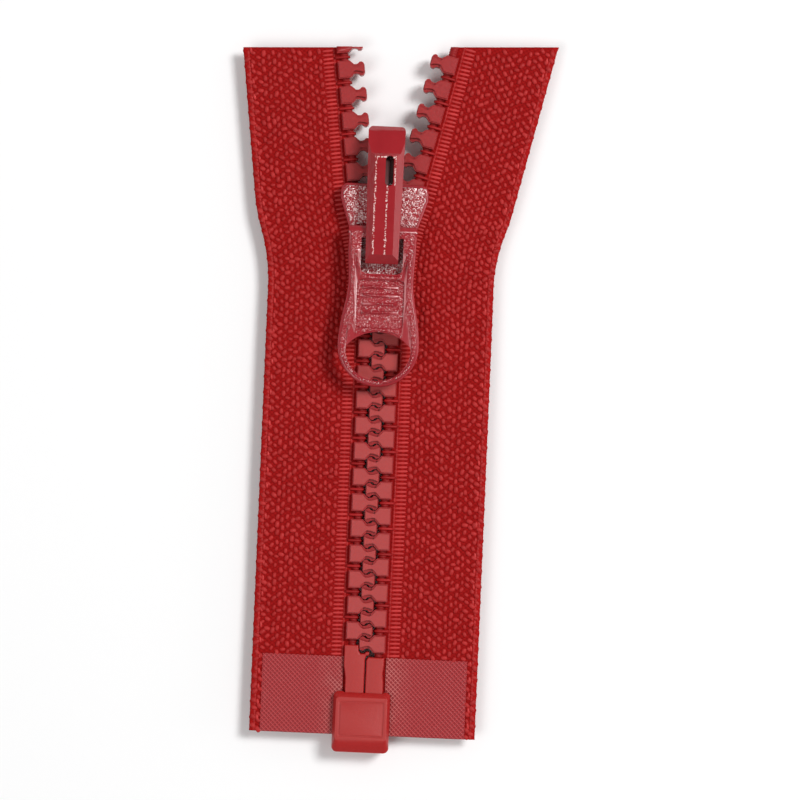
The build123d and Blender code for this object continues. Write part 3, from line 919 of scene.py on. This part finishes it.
def tooth_shape(name, head, neck):
    """One tooth pointing along +X: base round the cord, low head, raised dog-bone top."""
    base_half_height, head_half_height, top_half_height = 1.27, 0.95, 1.45
    base = [(-2.95, 1.3), (-1.2, 1.3), (-0.6, neck)]
    low_head = [(-1.0, neck), (-0.1, neck), (0.12, neck + 0.12), (0.3, head)]
    low_head += [(0.55, head), (0.82, head - 0.14), (0.98, head - 0.5)]
    top = [(-2.8, 1.12), (-1.3, 1.12), (-0.98, 0.7), (-0.72, 0.42), (-0.45, 0.28)]
    top += [(0.0, 0.32), (0.45, 0.44), (0.84, 0.6)]
    edit = bmesh.new()
    outline_block(edit, mirrored(base), base_half_height, 0.14)
    outline_block(edit, mirrored(low_head), head_half_height, 0.1)
    outline_block(edit, mirrored(top), top_half_height, 0.09)
    bmesh.ops.recalc_face_normals(edit, faces=edit.faces)
    mesh = bpy.data.meshes.new(name)
    edit.to_mesh(mesh)
    edit.free()
    made = bpy.data.objects.new(name, mesh)
    smooth_below(made, 40)
    return made


FULL_TOOTH = tooth_shape("full_tooth", *FULL_HEAD)
SLIM_TOOTH = tooth_shape("slim_tooth", *SLIM_HEAD)
BINDING_SHAPE = binding_shape()
FULL_SIZE = (1, 1, 1)


def tooth_stations(side, length, shift=0.0):
    """Place and turn of each tooth, or of the gap beside it, on one length of a stringer."""
    found = []
    for count in range(TEETH_EACH_SIDE):
        along = FIRST_TOOTH[side] + count * PITCH + shift
        if not within(side, length, along):
            continue
        spread, height, turn = station(side, along)
        facing = turn if side == "left" else math.pi - turn
        found.append((Vector((SIDES[side] * spread, height, PLANE)), facing))
    return found


def row_of_teeth(side, length):
    """The teeth of one length, slimmer where the two rows mesh at an angle."""
    stations = tooth_stations(side, length)
    slim = [item for item in stations if MESHING[0] <= item[0].y < MESHING[1]]
    full = [item for item in stations if item not in slim]
    rows = []
    for kind, shape, places in (("teeth", FULL_TOOTH, full), ("slim_teeth", SLIM_TOOTH, slim)):
        if places:
            name = f"{side}_{kind}_{length}"
            rows.append(
                repeated(name, places, shape, FULL_SIZE, TOOTH_PLASTIC, TOOTH_SEEDS[side])
            )
    if length == "upper":
        trim_at_cut(rows[0])
    return rows


def bindings(side, length):
    """Loops of yarn over the cord in the gaps between the teeth, on both faces."""
    places = []
    for point, facing in tooth_stations(side, length, PITCH / 2):
        if not past_cut(point, 0.6):
            places.append((point, facing + math.pi))
    front = repeated(
        f"{side}_bindings_{length}", places, BINDING_SHAPE, FULL_SIZE, CORD_YARN, BINDING_SEED
    )
    back = front.copy()
    back.data = front.data.copy()
    back.name = f"{side}_bindings_back_{length}"
    bpy.context.scene.collection.objects.link(back)
    for vertex in back.data.vertices:
        vertex.co.z = 2 * PLANE * MM - vertex.co.z
    back.data.flip_normals()
    return [front, back]


# ---- Films -----------------------------------------------------------------------------------------
def film(side, name, up):
    """Thin closed film on one face of a lower tape end, embossed on its outside."""
    node = f"{side}_film_{name}"
    start, stop = low(node), high(node)
    columns, rows = 150, 145
    emboss_depth, edge_drop, edge_width = 0.035, 0.05, 0.3
    outer = stop.z if up == 1 else start.z
    inner = start.z if up == 1 else stop.z
    step = math.pi / FILM_GRID / math.sqrt(2)
    outside, inside = [], []
    for row in range(rows + 1):
        y = start.y + (stop.y - start.y) * row / rows
        for column in range(columns + 1):
            x = start.x + (stop.x - start.x) * column / columns
            emboss = 1 - max(abs(math.sin((x + y) * step)), abs(math.sin((x - y) * step))) ** 3
            edge = min(x - start.x, stop.x - x, y - start.y, stop.y - y)
            sunk = emboss_depth * emboss + edge_drop * (1 - ease(edge, 0, edge_width))
            outside.append((x, y, outer - up * sunk))
            inside.append((x, y, inner))
    made = piece_from(f"{side}_film_skin_{name}", outside + inside, sheet_faces(columns, rows))
    face_outwards(made)
    made.data.materials.append(FILM)
    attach(made, "bottom_end")
    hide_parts(node)


# ---- Castings and mouldings, refined from the frame ----------------------------------------------
def refined(node, body, finish, bevel, even_flats):
    """A copy of a frame node with merged faces, softly rounded edges and smooth shading."""
    made = bpy.data.objects.new(node + "_finished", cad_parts[node].data.copy())
    bpy.context.scene.collection.objects.link(made)
    edit = bmesh.new()
    edit.from_mesh(made.data)
    bmesh.ops.remove_doubles(edit, verts=edit.verts, dist=1e-6)
    bmesh.ops.dissolve_limit(edit, angle_limit=math.radians(1), verts=edit.verts, edges=edit.edges)
    for face in edit.faces:
        face.smooth = True
    edit.to_mesh(made.data)
    edit.free()
    made.data.materials.clear()
    made.data.materials.append(finish)
    modifier = made.modifiers.new("soft_edges", "BEVEL")
    modifier.width = bevel * MM
    modifier.segments = 2
    modifier.limit_method = "ANGLE"
    modifier.angle_limit = math.radians(35)
    modifier.harden_normals = True
    if even_flats:
        made.modifiers.new("even_shading", "WEIGHTED_NORMAL").weight = 90
    made = baked(made, node + "_finished")
    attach(made, body)
    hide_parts(node)


# ---- Build -----------------------------------------------------------------------------------------
for side in SIDES:
    for length in LENGTHS:
        cloth = ground_cloth(side, length)
        yarns = raised_yarns(side, length)
        cord = bead_cord(side, length)
        loops = bindings(side, length)
        rows = row_of_teeth(side, length)
        parts = ("bottom", "closed") if length == "lower" else ("open",)
        for made in (cloth, *yarns):
            bend_with(made, length)
        for made in (cord, *loops):
            bend_with(made, length)
        for made in rows:
            bend_with(made, length)
        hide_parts(*(f"{side}_tape_{part}" for part in parts))
        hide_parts(*(f"{side}_cord_{part}" for part in parts))
        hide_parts(f"{side}_teeth_closed" if length == "lower" else f"{side}_teeth_open")
    for name, up in (("front", 1), ("back", -1)):
        film(side, name, up)

for node, body, finish, slot, bevel, even_flats in (
    ("retainer_box", "bottom_end", END_PLASTIC, "moulded_end_parts", 0.12, False),
    ("retainer_pin", "bottom_end", END_PLASTIC, "moulded_end_parts", 0.08, False),
    ("insert_pin", "bottom_end", END_PLASTIC, "moulded_end_parts", 0.08, False),
    ("slider_body", "slider", SLIDER_PAINT, "painted_slider", 0.1, False),
    ("slider_crown", "slider", CROWN_PAINT, "painted_slider", 0.24, True),
    ("lock_pawl", "lock", SPRING, "spring_steel", 0.04, False),
    ("pull_tab", "pull_tab", TAB_PAINT, "painted_tab", 0.12, False),
):
    refined(node, body, finish, bevel, even_flats)


# ---- Floor, light and camera ------------------------------------------------------------------------
def studio():
    """Plain pale floor, pale surroundings and three soft lights."""
    reach = 900
    corners = [(-reach, -reach), (reach, -reach), (reach, reach), (-reach, reach)]
    floor = piece_from("floor", [(x, y, FLOOR) for x, y in corners], [(0, 1, 2, 3)], smooth=False)
    plain = Finish("pale_floor", roughness=0.9)
    plain.set("Base Color", colour(0.98, 0.98, 0.98))
    floor.data.materials.append(plain.material)

    world = bpy.data.worlds.new("studio")
    world.use_nodes = True
    world.node_tree.nodes["Background"].inputs["Color"].default_value = colour(1.0, 1.0, 1.0)
    world.node_tree.nodes["Background"].inputs["Strength"].default_value = 0.3
    bpy.context.scene.world = world

    middle = Vector((0, 45, 0))
    for name, place, size, power in (
        ("key_softbox", (420, 330, 760), 260, 5.4),
        ("fill_softbox", (-330, -200, 800), 420, 2.0),
        ("low_softbox", (800, 60, 150), 360, 0.7),
    ):
        light = bpy.data.lights.new(name, "AREA")
        light.size = size * MM
        light.energy = power
        made = bpy.data.objects.new(name, light)
        made.location = Vector(place) * MM
        made.rotation_euler = (middle - Vector(place)).to_track_quat("-Z", "Y").to_euler()
        bpy.context.scene.collection.objects.link(made)


def camera():
    """Straight down on the zipper, through a long lens, turned a little about the line of sight."""
    lens = bpy.data.cameras.new("camera")
    lens.lens = 150
    made = bpy.data.objects.new("camera", lens)
    seen_width = 118.8
    seen_middle = (3.55, 47.94)
    turn = math.radians(2.45)
    distance = seen_width * lens.lens / lens.sensor_width
    made.location = Vector((*seen_middle, PLANE + distance)) * MM
    made.rotation_euler = (0, 0, turn)
    bpy.context.scene.collection.objects.link(made)
    bpy.context.scene.camera = made


studio()
camera()
bpy.context.scene.view_settings.view_transform = "Standard"
